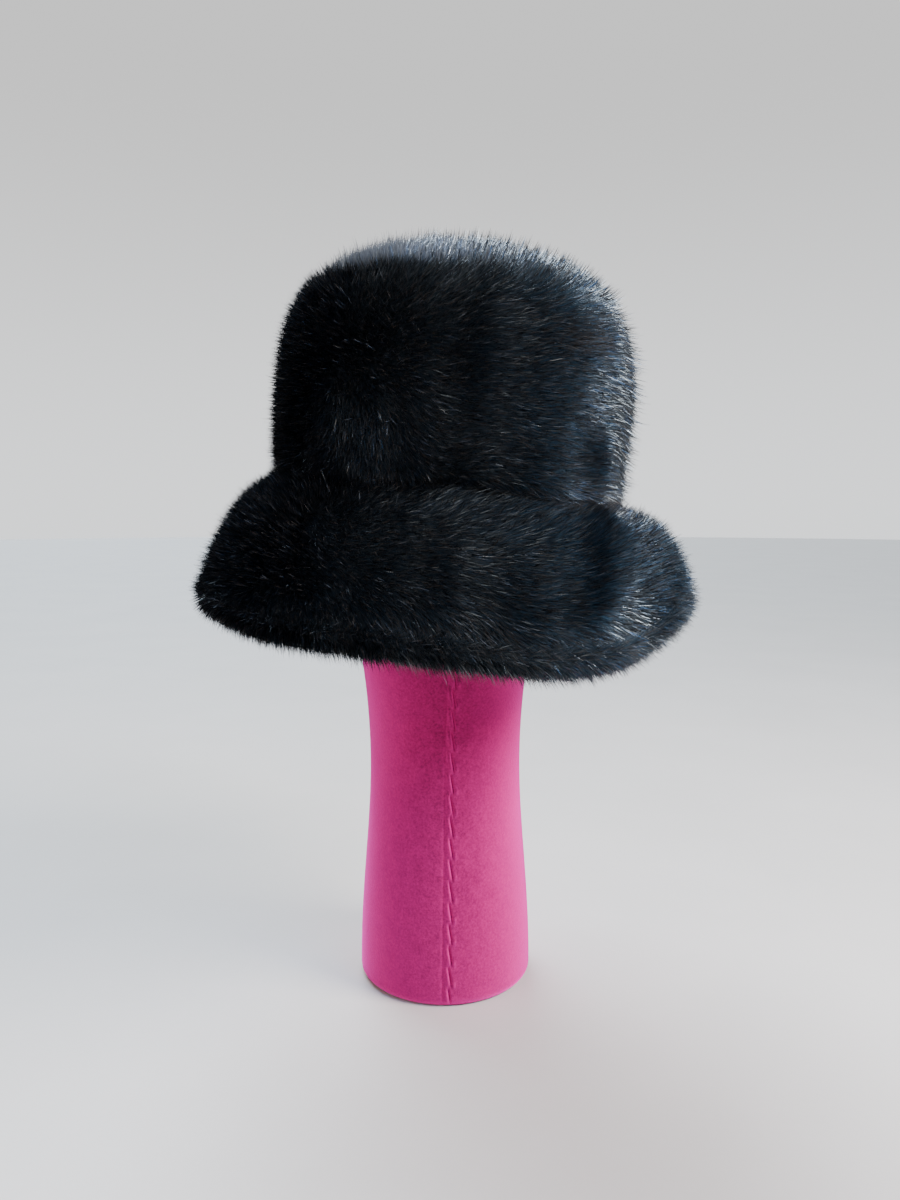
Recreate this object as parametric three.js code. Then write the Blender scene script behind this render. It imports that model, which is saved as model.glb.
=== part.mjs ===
// A fur bucket hat resting on a plain covered display stand.
// Millimetres, +Z up. The origin is the centre of the stand's flat underside.
import * as THREE from 'three';

// Crown: an oval wall and a domed tip, both of pelt with the pile outwards
const CROWN_HALF_WIDTH = 108;
const CROWN_HALF_DEPTH = 104;
const CROWN_HEIGHT = 145;
const CROWN_WALL = 14;
const SEAM_SHARE = 0.8; // height of the tip seam, as a share of the crown's height
const SIDE_FLATNESS = 5.7; // power of the crown's profile: higher is a squarer shoulder
const TIP_FLAT = 20; // radius of the flat that the stand's dome bears on, inside the tip
const TIP_RIM = 0.25; // share of the tip's radius over which its locks rise from the seam
const CREASE_DEPTH = 2.5; // how far the pile is pinched in where crown and brim are sewn
const CREASE_HEIGHT = 5;
const JUNCTION_SLANT = 4.4; // the crown's lower seam is this much higher at the left

// Brim: a soft bell with pile on both faces and a thick rounded edge
const BRIM_HALF_WIDTH = 150;
const BRIM_HALF_DEPTH = 141;
const BRIM_SHIFT = 1; // the edge's centre lies this much to the right of the crown's
const BRIM_DROP = 84; // from the crown's lower seam to the underside of the edge
const BRIM_EDGE = 22; // thickness at the edge, both piles included
const BRIM_BELL = 4; // outward swell of the brim between seam and edge
const BRIM_FOLD = 6; // depth of the soft folds
const BRIM_SQUARE_FROM = 0.35; // from this share of the way out, the faces lie square to the middle line
const BRIM_FULL_FROM = 0.45; // from this share of the way out, the brim is as thick as its edge
const FOLD_REACH = 0.72; // the folds swing over this share of a half wave between seam and edge
const BRIM_LOCK_REACH = 0.9; // and the height of the locks over this share
const EDGE_TUFT = 0.4; // how far along a lock the edge cuts it

// Locks of the pile
const LOCK_RELIEF = 3;
const LOCKS_AROUND = 21;
const LOCK_LENGTH = 24;
const LOCK_CREST = 0.7; // how far along its length a lock is thickest
const LOCK_SLANT = 0.9; // widths that a lock drifts sideways over its own length
const LOCK_STAGGER = 0.5; // widths that each row of locks is moved against the row before it

// Stand: an upholstered post with a waist, a flare and a domed top
const STAND_BASE_RADIUS = 55;
const STAND_WAIST_RADIUS = 48;
const STAND_WAIST_HEIGHT = 139;
const STAND_NECK_RADIUS = 52;
const STAND_NECK_HEIGHT = 199;
const STAND_HEIGHT = 441;
const STAND_EDGE = 5; // rounding of the foot
const WAIST_HANDLES = [0.4, 0.7]; // of the curve from foot to waist, as shares of its rise
const FLARE_HANDLES = [0.2, 0.55]; // of the curve from neck to dome, as shares of its rise
const HEAD_ROOM = 28; // free space between the stand's top and the crown's inner face

// Fit: gaps between neighbours and how the hat sits
const SEAM_GAP = 0.3;
const SEAT_GAP = 0.3;
const HAT_LEAN = THREE.MathUtils.degToRad(4.2); // to the right
const HAT_OFFSET = 9; // the crown's axis lies this much to the right of the stand's

// Fineness of the meshes
const STEPS_AROUND = 84;
const SIDE_ROWS = 14;
const TIP_ROWS = 7;
const BRIM_ROWS = 12;
const INNER_ROWS = 4;
const EDGE_ROWS = 4;
const STAND_STEPS = 5; // along each curve of the stand's outline

// Around the brim, from the front (-90 is nearest the viewer) over the right (0) to the back:
// drop is a share of BRIM_DROP, fold a share of BRIM_FOLD, outwards positive.
const BRIM_TABLE = [
  { azimuth: -180, drop: 1.0, fold: 0.1 },
  { azimuth: -156, drop: 0.98, fold: 0.3 },
  { azimuth: -132, drop: 1.03, fold: 0.1 },
  { azimuth: -108, drop: 1.045, fold: -0.2 },
  { azimuth: -84, drop: 1.075, fold: 0.1 },
  { azimuth: -69, drop: 1.11, fold: 0.3 },
  { azimuth: -54, drop: 1.08, fold: -0.1 },
  { azimuth: -40, drop: 1.0, fold: -0.7 },
  { azimuth: -24, drop: 0.82, fold: 0.8 },
  { azimuth: -7, drop: 0.75, fold: -0.4 },
  { azimuth: 12, drop: 0.75, fold: 0.4 },
  { azimuth: 38, drop: 0.83, fold: 0 },
  { azimuth: 66, drop: 0.95, fold: 0.2 },
  { azimuth: 95, drop: 1.0, fold: 0 },
  { azimuth: 125, drop: 1.01, fold: 0.2 },
  { azimuth: 153, drop: 1.0, fold: -0.1 },
];

// Soft dents and swellings of the crown: height and reach are shares of CROWN_HEIGHT,
// push is a share of CROWN_WALL, inwards negative.
const CROWN_DENTS = [
  { azimuth: -41, height: 0.13, spread: 17, reach: 0.12, push: -0.32 },
  { azimuth: -18, height: 0.4, spread: 20, reach: 0.3, push: 0.14 },
  { azimuth: -62, height: 0.5, spread: 26, reach: 0.25, push: -0.12 },
  { azimuth: -100, height: 0.3, spread: 24, reach: 0.22, push: 0.13 },
  { azimuth: -128, height: 0.55, spread: 18, reach: 0.3, push: -0.16 },
  { azimuth: -160, height: 0.35, spread: 22, reach: 0.3, push: 0.1 },
  { azimuth: 100, height: 0.4, spread: 30, reach: 0.3, push: -0.12 },
];

const standHeadRadius = CROWN_HALF_DEPTH - CROWN_WALL - HEAD_ROOM;
const tipFlatShare = TIP_FLAT / (CROWN_HALF_DEPTH - CROWN_WALL);
const lockWidth = (2 * Math.PI * CROWN_HALF_DEPTH) / LOCKS_AROUND;
const azimuths = Array.from(
  { length: STEPS_AROUND },
  (_, i) => (i / STEPS_AROUND) * 2 * Math.PI - Math.PI,
);

function locksRound(azimuth) {
  return (azimuth / (2 * Math.PI)) * LOCKS_AROUND;
}

function degreesApart(a, b) {
  return ((((a - b) % 360) + 540) % 360) - 180;
}

// Smooth periodic reading of one column of BRIM_TABLE: cubic Hermite between its rows
function brimColumn(azimuth, column) {
  const degrees = THREE.MathUtils.radToDeg(azimuth);
  const count = BRIM_TABLE.length;
  const row = (i) => BRIM_TABLE[((i % count) + count) % count];
  const span = (i) => (row(i + 1).azimuth - row(i).azimuth + 360) % 360;
  const from = (i) => (degrees - row(i).azimuth + 720) % 360;
  const i = BRIM_TABLE.findIndex((_, k) => from(k) < span(k));
  const slope = (k) => (row(k + 1)[column] - row(k - 1)[column]) / (span(k - 1) + span(k));
  const t = from(i) / span(i);
  const [t2, t3] = [t * t, t * t * t];
  return (2 * t3 - 3 * t2 + 1) * row(i)[column] + (t3 - 2 * t2 + t) * span(i) * slope(i)
    + (3 * t2 - 2 * t3) * row(i + 1)[column] + (t3 - t2) * span(i) * slope(i + 1);
}

// Height of a lock of pile, 0 to 1: it swells towards its tip, then drops to the next root.
// across counts locks sideways, along counts them the way the pile lies.
function lockHeight(across, along) {
  const row = Math.floor(along);
  const reach = along - row;
  const slanted = across + row * LOCK_STAGGER + LOCK_SLANT * reach;
  const side = 2 * (slanted - Math.floor(slanted)) - 1;
  const swell = reach < LOCK_CREST ? reach / LOCK_CREST : (1 - reach) / (1 - LOCK_CREST);
  return swell * (1 - side * side);
}

function crownDent(azimuth, height) {
  const degrees = THREE.MathUtils.radToDeg(azimuth);
  return CROWN_DENTS.reduce((sum, dent) => {
    const sideways = degreesApart(degrees, dent.azimuth) / dent.spread;
    const upwards = (height / CROWN_HEIGHT - dent.height) / dent.reach;
    return sum + dent.push * CROWN_WALL * Math.exp(-(sideways * sideways) - upwards * upwards);
  }, 0);
}

// The crown's profile is a superellipse: full at the lower seam, domed at the top.
// Shares are of the crown's half width or half depth, and of its height.
function crownShare(heightShare) {
  return Math.sqrt(Math.max(0, 1 - Math.abs(heightShare) ** SIDE_FLATNESS));
}

function crownHeightShare(radiusShare) {
  return Math.max(0, 1 - radiusShare * radiusShare) ** (1 / SIDE_FLATNESS);
}

function ovalPoint(azimuth, halfWidth, halfDepth, height) {
  return new THREE.Vector3(halfWidth * Math.cos(azimuth), halfDepth * Math.sin(azimuth), height);
}

function junctionHeight(azimuth) {
  return -JUNCTION_SLANT * Math.cos(azimuth);
}

// Closed rings of points joined in order; a tube's last ring meets its first, else both ends are capped
function skin(rings, tube) {
  const points = rings.flat();
  const index = [];
  const joins = tube ? rings.length : rings.length - 1;
  for (let r = 0; r < joins; r += 1) {
    const here = r * STEPS_AROUND;
    const next = ((r + 1) % rings.length) * STEPS_AROUND;
    for (let i = 0; i < STEPS_AROUND; i += 1) {
      const j = (i + 1) % STEPS_AROUND;
      index.push(here + i, here + j, next + j, here + i, next + j, next + i);
    }
  }
  if (!tube) {
    [rings[0], rings[rings.length - 1]].forEach((ring, end) => {
      const sum = ring.reduce((total, p) => total.add(p), new THREE.Vector3());
      const centre = sum.divideScalar(ring.length);
      const base = end * (rings.length - 1) * STEPS_AROUND;
      points.push(centre);
      for (let i = 0; i < STEPS_AROUND; i += 1) {
        const j = (i + 1) % STEPS_AROUND;
        const [a, b] = end ? [i, j] : [j, i];
        index.push(base + a, base + b, points.length - 1);
      }
    });
  }
  const geometry = new THREE.BufferGeometry().setFromPoints(points);
  geometry.setIndex(index);
  geometry.computeVertexNormals();
  return geometry;
}

// Outer face of the crown's wall at a height, with crease, dents and locks
function crownOuter(azimuth, height) {
  const share = crownShare(height / CROWN_HEIGHT);
  const low = junctionHeight(azimuth);
  const high = SEAM_SHARE * CROWN_HEIGHT;
  const crease = CREASE_DEPTH * Math.exp(-(((height - low) / CREASE_HEIGHT) ** 2));
  const within = THREE.MathUtils.clamp((height - low) / (high - low), 0, 1);
  const fade = Math.sqrt(Math.sin(Math.PI * within));
  const lock = LOCK_RELIEF * fade * lockHeight(locksRound(azimuth), (high - height) / LOCK_LENGTH);
  const push = lock - crease + fade * crownDent(azimuth, height);
  return ovalPoint(azimuth, CROWN_HALF_WIDTH * share + push, CROWN_HALF_DEPTH * share + push, height);
}

function crownInner(azimuth, heightShare) {
  const share = crownShare(heightShare);
  const halfWidth = (CROWN_HALF_WIDTH - CROWN_WALL) * share;
  const halfDepth = (CROWN_HALF_DEPTH - CROWN_WALL) * share;
  return ovalPoint(azimuth, halfWidth, halfDepth, (CROWN_HEIGHT - CROWN_WALL) * heightShare);
}

function crownSide() {
  const innerHeight = CROWN_HEIGHT - CROWN_WALL;
  const outer = Array.from({ length: SIDE_ROWS + 1 }, (_, r) => azimuths.map((azimuth) => {
    const low = junctionHeight(azimuth);
    return crownOuter(azimuth, THREE.MathUtils.lerp(low, SEAM_SHARE * CROWN_HEIGHT, r / SIDE_ROWS));
  }));
  const inner = Array.from({ length: INNER_ROWS + 1 }, (_, r) => azimuths.map((azimuth) => {
    const low = junctionHeight(azimuth) / innerHeight;
    return crownInner(azimuth, THREE.MathUtils.lerp(SEAM_SHARE, low, r / INNER_ROWS));
  }));
  return skin([...outer, ...inner], true);
}

function crownTip() {
  const outerSeam = crownShare(SEAM_SHARE + SEAM_GAP / CROWN_HEIGHT);
  const innerHeight = CROWN_HEIGHT - CROWN_WALL;
  const innerSeam = crownShare(SEAM_SHARE + SEAM_GAP / innerHeight);
  const outer = Array.from({ length: TIP_ROWS }, (_, r) => azimuths.map((azimuth) => {
    const within = r / TIP_ROWS;
    const share = outerSeam * (1 - within);
    const point = ovalPoint(azimuth, CROWN_HALF_WIDTH * share, CROWN_HALF_DEPTH * share, 0);
    const rise = Math.min(1, within / TIP_RIM);
    const lock = LOCK_RELIEF * rise * lockHeight(point.x / lockWidth, point.y / LOCK_LENGTH);
    point.z = CROWN_HEIGHT * crownHeightShare(share) + lock;
    return point;
  }));
  const inner = Array.from({ length: INNER_ROWS }, (_, r) => azimuths.map((azimuth) => {
    const share = THREE.MathUtils.lerp(tipFlatShare, innerSeam, r / (INNER_ROWS - 1));
    return crownInner(azimuth, crownHeightShare(share));
  }));
  return skin([...inner, ...outer], false);
}

// One section of the brim, walked from the seam over the upper face, round the edge and back below
function brimSection(azimuth) {
  const top = junctionHeight(azimuth) - SEAM_GAP;
  const seam = ovalPoint(azimuth, CROWN_HALF_WIDTH, CROWN_HALF_DEPTH, top);
  const drop = BRIM_DROP * brimColumn(azimuth, 'drop');
  const rim = ovalPoint(azimuth, BRIM_HALF_WIDTH, BRIM_HALF_DEPTH, -drop);
  rim.x += BRIM_SHIFT;
  const reach = Math.hypot(rim.x - seam.x, rim.y - seam.y);
  const [outX, outY] = [(rim.x - seam.x) / reach, (rim.y - seam.y) / reach];
  const topHalf = (CROWN_WALL - CREASE_DEPTH) / 2;
  const edgeHalf = BRIM_EDGE / 2;
  const start = new THREE.Vector2(-CREASE_DEPTH - topHalf, seam.z);
  const end = new THREE.Vector2(reach - edgeHalf, rim.z + edgeHalf);
  const chord = end.clone().sub(start).normalize();
  const swell = new THREE.Vector2(-chord.y, chord.x).multiplyScalar(2 * BRIM_BELL);
  const knee = start.clone().add(end).multiplyScalar(0.5).add(swell);
  const curve = new THREE.QuadraticBezierCurve(start, knee, end);
  const fold = BRIM_FOLD * brimColumn(azimuth, 'fold');

  // Point of the section: side is 1 on the upper face, -1 below, and turns round the edge between
  const at = (along, side) => {
    const middle = curve.getPoint(along);
    const tangent = curve.getTangent(along);
    const square = new THREE.Vector2(-tangent.y, tangent.x);
    const turned = THREE.MathUtils.smoothstep(along, 0, BRIM_SQUARE_FROM);
    const across = new THREE.Vector2(1, 0).lerp(square, turned).normalize();
    const thickened = THREE.MathUtils.smoothstep(along, 0, BRIM_FULL_FROM);
    const half = THREE.MathUtils.lerp(topHalf, edgeHalf, thickened);
    const locksAlong = (along * curve.getLength()) / LOCK_LENGTH;
    const fade = Math.sqrt(Math.sin(Math.PI * Math.min(1, along * BRIM_LOCK_REACH)));
    const lock = LOCK_RELIEF * fade * lockHeight(locksRound(azimuth), locksAlong);
    const swing = fold * Math.sin(Math.PI * along * FOLD_REACH);
    return middle.addScaledVector(across, side * half + swing + Math.max(0, side) * lock);
  };
  const rows = (count) => Array.from({ length: count + 1 }, (_, r) => r / count);
  const upper = rows(BRIM_ROWS).map((along) => at(along, 1));
  const lower = rows(INNER_ROWS).map((along) => at(1 - along, -1));
  const centre = at(1, 0);
  const first = upper.at(-1).clone().sub(centre).angle();
  const tuft = LOCK_RELIEF * lockHeight(locksRound(azimuth), EDGE_TUFT);
  const edge = rows(EDGE_ROWS).slice(1, -1).map((turn) => {
    const angle = first - Math.PI * turn;
    const bulge = edgeHalf + tuft * Math.sin(Math.PI * turn);
    return new THREE.Vector2(Math.cos(angle), Math.sin(angle)).multiplyScalar(bulge).add(centre);
  });
  const placed = (p) => new THREE.Vector3(seam.x + outX * p.x, seam.y + outY * p.x, p.y);
  return [...upper, ...edge, ...lower].map(placed);
}

function brim() {
  const sections = azimuths.map(brimSection);
  const rings = sections[0].map((_, r) => sections.map((section) => section[r]));
  return skin(rings.reverse(), true);
}

// Half outline of the stand, turned about its axis
function stand() {
  const { lerp } = THREE.MathUtils;
  const outline = new THREE.Path();
  const domeCentre = STAND_HEIGHT - standHeadRadius;
  outline.moveTo(0, 0);
  outline.lineTo(STAND_BASE_RADIUS - STAND_EDGE, 0);
  outline.absarc(STAND_BASE_RADIUS - STAND_EDGE, STAND_EDGE, STAND_EDGE, -Math.PI / 2, 0, false);
  outline.bezierCurveTo(
    STAND_BASE_RADIUS, STAND_WAIST_HEIGHT * WAIST_HANDLES[0],
    STAND_WAIST_RADIUS, STAND_WAIST_HEIGHT * WAIST_HANDLES[1],
    STAND_WAIST_RADIUS, STAND_WAIST_HEIGHT,
  );
  outline.quadraticCurveTo(
    STAND_WAIST_RADIUS, lerp(STAND_WAIST_HEIGHT, STAND_NECK_HEIGHT, 0.5),
    STAND_NECK_RADIUS, STAND_NECK_HEIGHT,
  );
  outline.bezierCurveTo(
    lerp(STAND_NECK_RADIUS, standHeadRadius, 0.5),
    lerp(STAND_NECK_HEIGHT, domeCentre, FLARE_HANDLES[0]),
    standHeadRadius, lerp(STAND_NECK_HEIGHT, domeCentre, FLARE_HANDLES[1]),
    standHeadRadius, domeCentre,
  );
  outline.absarc(0, domeCentre, standHeadRadius, 0, Math.PI / 2, false);
  const points = outline.getPoints(STAND_STEPS);
  points[points.length - 1].x = 0;
  const geometry = new THREE.LatheGeometry(points, STEPS_AROUND / 2);
  return geometry.rotateX(Math.PI / 2);
}

// Places the hat so that the flat inside its tip bears on the stand's dome
function placeHat(hat) {
  const innerTip = crownInner(0, crownHeightShare(tipFlatShare)).z;
  const domeInHat = new THREE.Vector3(-HAT_OFFSET, 0, innerTip - SEAT_GAP - standHeadRadius);
  hat.rotation.y = HAT_LEAN;
  domeInHat.applyEuler(hat.rotation);
  hat.position.set(0, 0, STAND_HEIGHT - standHeadRadius).sub(domeInHat);
}

function mesh(name, geometry, material) {
  const result = new THREE.Mesh(geometry, material);
  result.name = name;
  return result;
}

const fur = () => new THREE.MeshStandardMaterial({ color: 0x0c0f14, roughness: 0.62, metalness: 0 });
const suede = new THREE.MeshStandardMaterial({ color: 0xb5347a, roughness: 0.92, metalness: 0 });

const hat = new THREE.Group();
hat.add(mesh('crown_tip', crownTip(), fur()));
hat.add(mesh('crown_side', crownSide(), fur()));
hat.add(mesh('brim', brim(), fur()));
placeHat(hat);

const part = new THREE.Group();
part.add(mesh('stand', stand(), suede));
part.add(hat);

export default part;
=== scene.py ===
import math

import bpy
import numpy as np
from bpy.props import FloatProperty, FloatVectorProperty, IntProperty, PointerProperty
from bpy.types import Operator, Panel, PropertyGroup
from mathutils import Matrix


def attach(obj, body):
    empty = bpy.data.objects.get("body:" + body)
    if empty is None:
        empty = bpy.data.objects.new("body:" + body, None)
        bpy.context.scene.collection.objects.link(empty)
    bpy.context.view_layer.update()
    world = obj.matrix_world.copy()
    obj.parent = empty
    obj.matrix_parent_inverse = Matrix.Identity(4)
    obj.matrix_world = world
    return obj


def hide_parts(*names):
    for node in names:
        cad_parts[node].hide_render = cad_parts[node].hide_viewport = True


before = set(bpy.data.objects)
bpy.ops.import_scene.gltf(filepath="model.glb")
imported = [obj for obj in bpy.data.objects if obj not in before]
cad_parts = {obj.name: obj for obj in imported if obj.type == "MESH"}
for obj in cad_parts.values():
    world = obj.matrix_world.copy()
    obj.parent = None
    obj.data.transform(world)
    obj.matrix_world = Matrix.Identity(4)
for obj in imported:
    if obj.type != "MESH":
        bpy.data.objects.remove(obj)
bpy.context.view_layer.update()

bl_info = {
    "name": "Fur bucket hat on a covered stand",
    "version": (1, 0, 0),
    "blender": (4, 5, 0),
    "location": "3D View > Sidebar > Fur hat",
    "description": "Dresses the packed hat and stand in fur and suede",
    "category": "Object",
}

# Around the brim: azimuth in degrees, drop as a share of the brim's drop, fold as a share of its fold
BRIM_TABLE = np.array([
    (-180, 1.0, 0.1), (-156, 0.98, 0.3), (-132, 1.03, 0.1), (-108, 1.045, -0.2),
    (-84, 1.075, 0.1), (-69, 1.11, 0.3), (-54, 1.08, -0.1), (-40, 1.0, -0.7),
    (-24, 0.82, 0.8), (-7, 0.75, -0.4), (12, 0.75, 0.4), (38, 0.83, 0.0),
    (66, 0.95, 0.2), (95, 1.0, 0.0), (125, 1.01, 0.2), (153, 1.0, -0.1),
])
DROP, FOLD = 1, 2

# Dents and swellings of the crown: azimuth, height share, spread in degrees, reach share, push as a share of the wall
CROWN_DENTS = np.array([
    (-41, 0.13, 17, 0.12, -0.32), (-18, 0.4, 20, 0.3, 0.14), (-62, 0.5, 26, 0.25, -0.12),
    (-100, 0.3, 24, 0.22, 0.13), (-128, 0.55, 18, 0.3, -0.16), (-160, 0.35, 22, 0.3, 0.1),
    (100, 0.4, 30, 0.3, -0.12),
])


# ---- Properties ----

def length(name, description, default, low=0.0, high=1.0):
    """A length property in metres."""
    return FloatProperty(name=name, description=description, default=default, min=low, max=high,
                         subtype="DISTANCE", unit="LENGTH", precision=4)


def colour(name, description, default):
    """A linear colour property."""
    return FloatVectorProperty(name=name, description=description, default=default, size=3,
                               min=0.0, max=1.0, subtype="COLOR")


def share(name, description, default, high=1.0):
    """A plain share, 0 to 1 unless high says more."""
    return FloatProperty(name=name, description=description, default=default, min=0.0, max=high,
                         subtype="FACTOR" if high == 1.0 else "NONE")


class FurHatForm(PropertyGroup):
    """Sizes of the hat, the same as in its solids"""
    crown_half_width: length("Crown half width", "From the crown's axis to its side", 0.108)
    crown_half_depth: length("Crown half depth", "From the crown's axis to its front", 0.104)
    crown_height: length("Crown height", "From the lower seam to the top", 0.145)
    crown_wall: length("Crown wall", "Pelt and pile together", 0.014)
    seam_share: share("Tip seam", "Height of the tip seam as a share of the crown's", 0.8)
    side_flatness: share("Shoulder", "Power of the crown's profile; higher is squarer", 5.7, 12.0)
    crease_depth: length("Crease depth", "How far the pile is pinched in above the brim", 0.0025)
    crease_height: length("Crease height", "How far up the pinch reaches", 0.005)
    junction_slant: length("Seam slant", "How much higher the lower seam is at the left", 0.0044)
    brim_half_width: length("Brim half width", "From the brim's centre to its side", 0.150)
    brim_half_depth: length("Brim half depth", "From the brim's centre to its front", 0.141)
    brim_shift: length("Brim shift", "How far the brim's centre lies to the right", 0.001)
    brim_drop: length("Brim drop", "From the lower seam to the underside of the edge", 0.084)
    brim_edge: length("Brim edge", "Thickness at the edge with both piles", 0.022)
    brim_bell: length("Brim bell", "Outward swell between seam and edge", 0.004)
    brim_fold: length("Brim fold", "Depth of the soft folds", 0.006)
    tip_flat: length("Tip flat", "Radius of the flat that bears on the stand", 0.020)
    seam_gap: length("Seam gap", "Gap between neighbouring pelts", 0.0003)
    lean: FloatProperty(name="Lean", description="Lean to the right", default=math.radians(4.2),
                        subtype="ANGLE", unit="ROTATION")
    offset: length("Offset", "How far the crown's axis lies to the right of the stand's", 0.009)


class FurHatPile(PropertyGroup):
    """Look of the pile"""
    hair_length: length("Hair length", "Length of a guard hair", 0.0120)
    guard_share: share("Guard hairs", "Share of long glossy hairs over the short ones", 0.24)
    hair_width: length("Hair width", "Width of a hair at its root", 0.00050)
    depth: length("Skin depth", "How far the skin lies under the pile's face", 0.0055)
    clump: length("Clump size", "Distance between clumps of hairs", 0.0022)
    clumping: share("Clumping", "How far the tips of a clump are drawn together", 0.35)
    tip_hairs: IntProperty(name="Tip hairs", description="Hairs on the crown's tip", default=115000, min=1000)
    side_hairs: IntProperty(name="Side hairs", description="Hairs on each half of the crown's side", default=162000, min=1000)
    brim_hairs: IntProperty(name="Brim hairs", description="Hairs on each half of the brim's face", default=157000, min=1000)
    under_hairs: IntProperty(name="Under hairs", description="Hairs on the brim's underside", default=65000, min=1000)
    seed: IntProperty(name="Seed", description="Start of the random numbers", default=7)
    black: colour("Black", "Main colour of the short hairs", (0.0024, 0.0028, 0.0034))
    # Painted reflection: teal put on the short hairs where the sky would be reflected in the pile
    painted_sky_teal: colour("Teal", "Colour of the short hairs where the pile looks blue", (0.0045, 0.040, 0.074))
    brown: colour("Brown", "Colour of the few brown hairs", (0.036, 0.029, 0.025))
    grey: colour("Grey", "Colour of the grey hairs", (0.13, 0.135, 0.15))
    lint: colour("Light hairs", "Colour of stray light hairs", (0.45, 0.43, 0.40))
    sheen: colour("Reflection tint", "Tint of the hairs' gloss", (0.76, 0.90, 1.0))
    roughness: share("Roughness", "Roughness of a guard hair", 0.20)
    under_roughness: share("Short roughness", "Roughness of the short hairs", 0.52)


class FurHatStand(PropertyGroup):
    """Sizes and look of the covered stand"""
    base_radius: length("Foot radius", "Radius at the foot", 0.055)
    waist_radius: length("Waist radius", "Radius at the waist", 0.048)
    waist_height: length("Waist height", "Height of the waist", 0.139)
    neck_radius: length("Neck radius", "Radius at the lower end of the flare", 0.052)
    neck_height: length("Neck height", "Height of the lower end of the flare", 0.199)
    height: length("Height", "Height of the stand", 0.441)
    edge: length("Foot edge", "Rounding of the foot", 0.005)
    head_radius: length("Top radius", "Radius of the domed top", 0.062)
    stitch_pitch: length("Stitch pitch", "Distance between stitches of the seam", 0.013)
    seam_depth: length("Seam depth", "Depth of the seam's groove", 0.0014)
    suede: colour("Suede", "Colour of the suede", (0.37, 0.007, 0.102))
    suede_dark: colour("Suede, dark", "Colour where the nap is turned", (0.145, 0.003, 0.036))
    # Painted sheen: colour mixed in where the cover turns away from view, standing in for the light its nap catches
    suede_painted_sheen: colour("Suede, edge", "Colour where the nap is seen from the side", (0.92, 0.008, 0.27))


class FurHatStudio(PropertyGroup):
    """Floor, light and camera"""
    floor: colour("Floor", "Colour of the floor", (0.56, 0.495, 0.445))
    sky: colour("Surroundings", "Colour of the soft light all round", (0.74, 0.80, 0.88))
    horizon: colour("Horizon", "Colour of the backdrop down at the floor", (0.93, 0.95, 0.97))
    backdrop: colour("Backdrop", "Colour of the backdrop higher up", (0.62, 0.62, 0.62))
    backdrop_strength: share("Backdrop, strength", "How bright the backdrop is", 1.45, 4.0)
    sky_strength: share("Surroundings, strength", "Strength of the soft light all round", 0.27, 4.0)
    key_power: FloatProperty(name="Key", description="Power of the soft light from the right", default=42.0, unit="POWER")
    top_power: FloatProperty(name="Top", description="Strength of the broad light from above", default=8.0, min=0.0)
    side_power: FloatProperty(name="Side", description="Power of the blue light from above the right front", default=18.0, unit="POWER")
    fill_power: FloatProperty(name="Fill", description="Power of the fill light", default=9.0, unit="POWER")
    camera_height: length("Camera height", "Height of the camera", 0.300)
    camera_distance: length("Camera distance", "From the camera to the stand's axis", 0.570)
    camera_side: length("Camera side", "How far the camera is to the right", 0.0032)
    camera_pitch: FloatProperty(name="Camera pitch", description="How far the camera looks down",
                                default=math.radians(5.85), subtype="ANGLE", unit="ROTATION")
    lens: FloatProperty(name="Lens", description="Focal length", default=27.03, unit="CAMERA")


# ---- Numbers and shapes ----

def smooth_step(value, low, high):
    """0 below low, 1 above high, and 3t^2 - 2t^3 between."""
    t = np.clip((value - low) / (high - low), 0, 1)
    return t * t * (3 - 2 * t)


def hill(azimuth, centre, spread):
    """A bell of height 1 round the centre. Azimuths are in degrees and go round."""
    apart = (azimuth - centre + 540) % 360 - 180
    return np.exp(-(apart / spread) ** 2)


def drift(points, size, seed):
    """Smooth noise of about -1 to 1: the mean of eight sine waves in random directions, with waves near size long."""
    rng = np.random.default_rng(seed)
    waves = rng.normal(size=(8, 3))
    waves *= (2 * math.pi / size) * rng.uniform(0.6, 1.5, (8, 1)) / np.linalg.norm(waves, axis=1, keepdims=True)
    phases = rng.uniform(0, 2 * math.pi, 8)
    return np.sin(points @ waves.T + phases).sum(axis=1) / 2.6


def unit(vectors):
    """Vectors scaled to length 1."""
    return vectors / np.maximum(np.linalg.norm(vectors, axis=-1, keepdims=True), 1e-12)


def oval(azimuth, half_width, half_depth, height):
    """Point of an upright oval: half width times the cosine, half depth times the sine, and the height."""
    parts = np.broadcast_arrays(half_width * np.cos(azimuth), half_depth * np.sin(azimuth), height)
    return np.stack(parts, axis=-1)


def brim_column(azimuth, column):
    """One column of the brim's table read at any azimuth: cubic Hermite curve between neighbouring rows."""
    at, value = BRIM_TABLE[:, 0], BRIM_TABLE[:, column]
    degrees = (np.degrees(azimuth) + 180) % 360 - 180
    row = np.searchsorted(at, degrees, side="right") - 1
    after = (row + 1) % len(at)
    span = (np.roll(at, -1) - at) % 360
    slope = (np.roll(value, -1) - np.roll(value, 1)) / (span + np.roll(span, 1))
    t = (degrees - at[row]) / span[row]
    return ((2 * t ** 3 - 3 * t ** 2 + 1) * value[row] + (t ** 3 - 2 * t ** 2 + t) * span[row] * slope[row]
            + (3 * t ** 2 - 2 * t ** 3) * value[after] + (t ** 3 - t ** 2) * span[row] * slope[after])


def crown_share(form, height_share):
    """Radius share of the crown at a height share: the square root of 1 less the height share to the flatness."""
    return np.sqrt(np.maximum(0, 1 - np.abs(height_share) ** form.side_flatness))


def crown_height_share(form, radius_share):
    """Height share of the crown at a radius share, the inverse of crown_share."""
    return np.maximum(0, 1 - radius_share ** 2) ** (1 / form.side_flatness)


def junction(form, azimuth):
    """Height of the lower seam: a slant times minus the cosine."""
    return -form.junction_slant * np.cos(azimuth)


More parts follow.
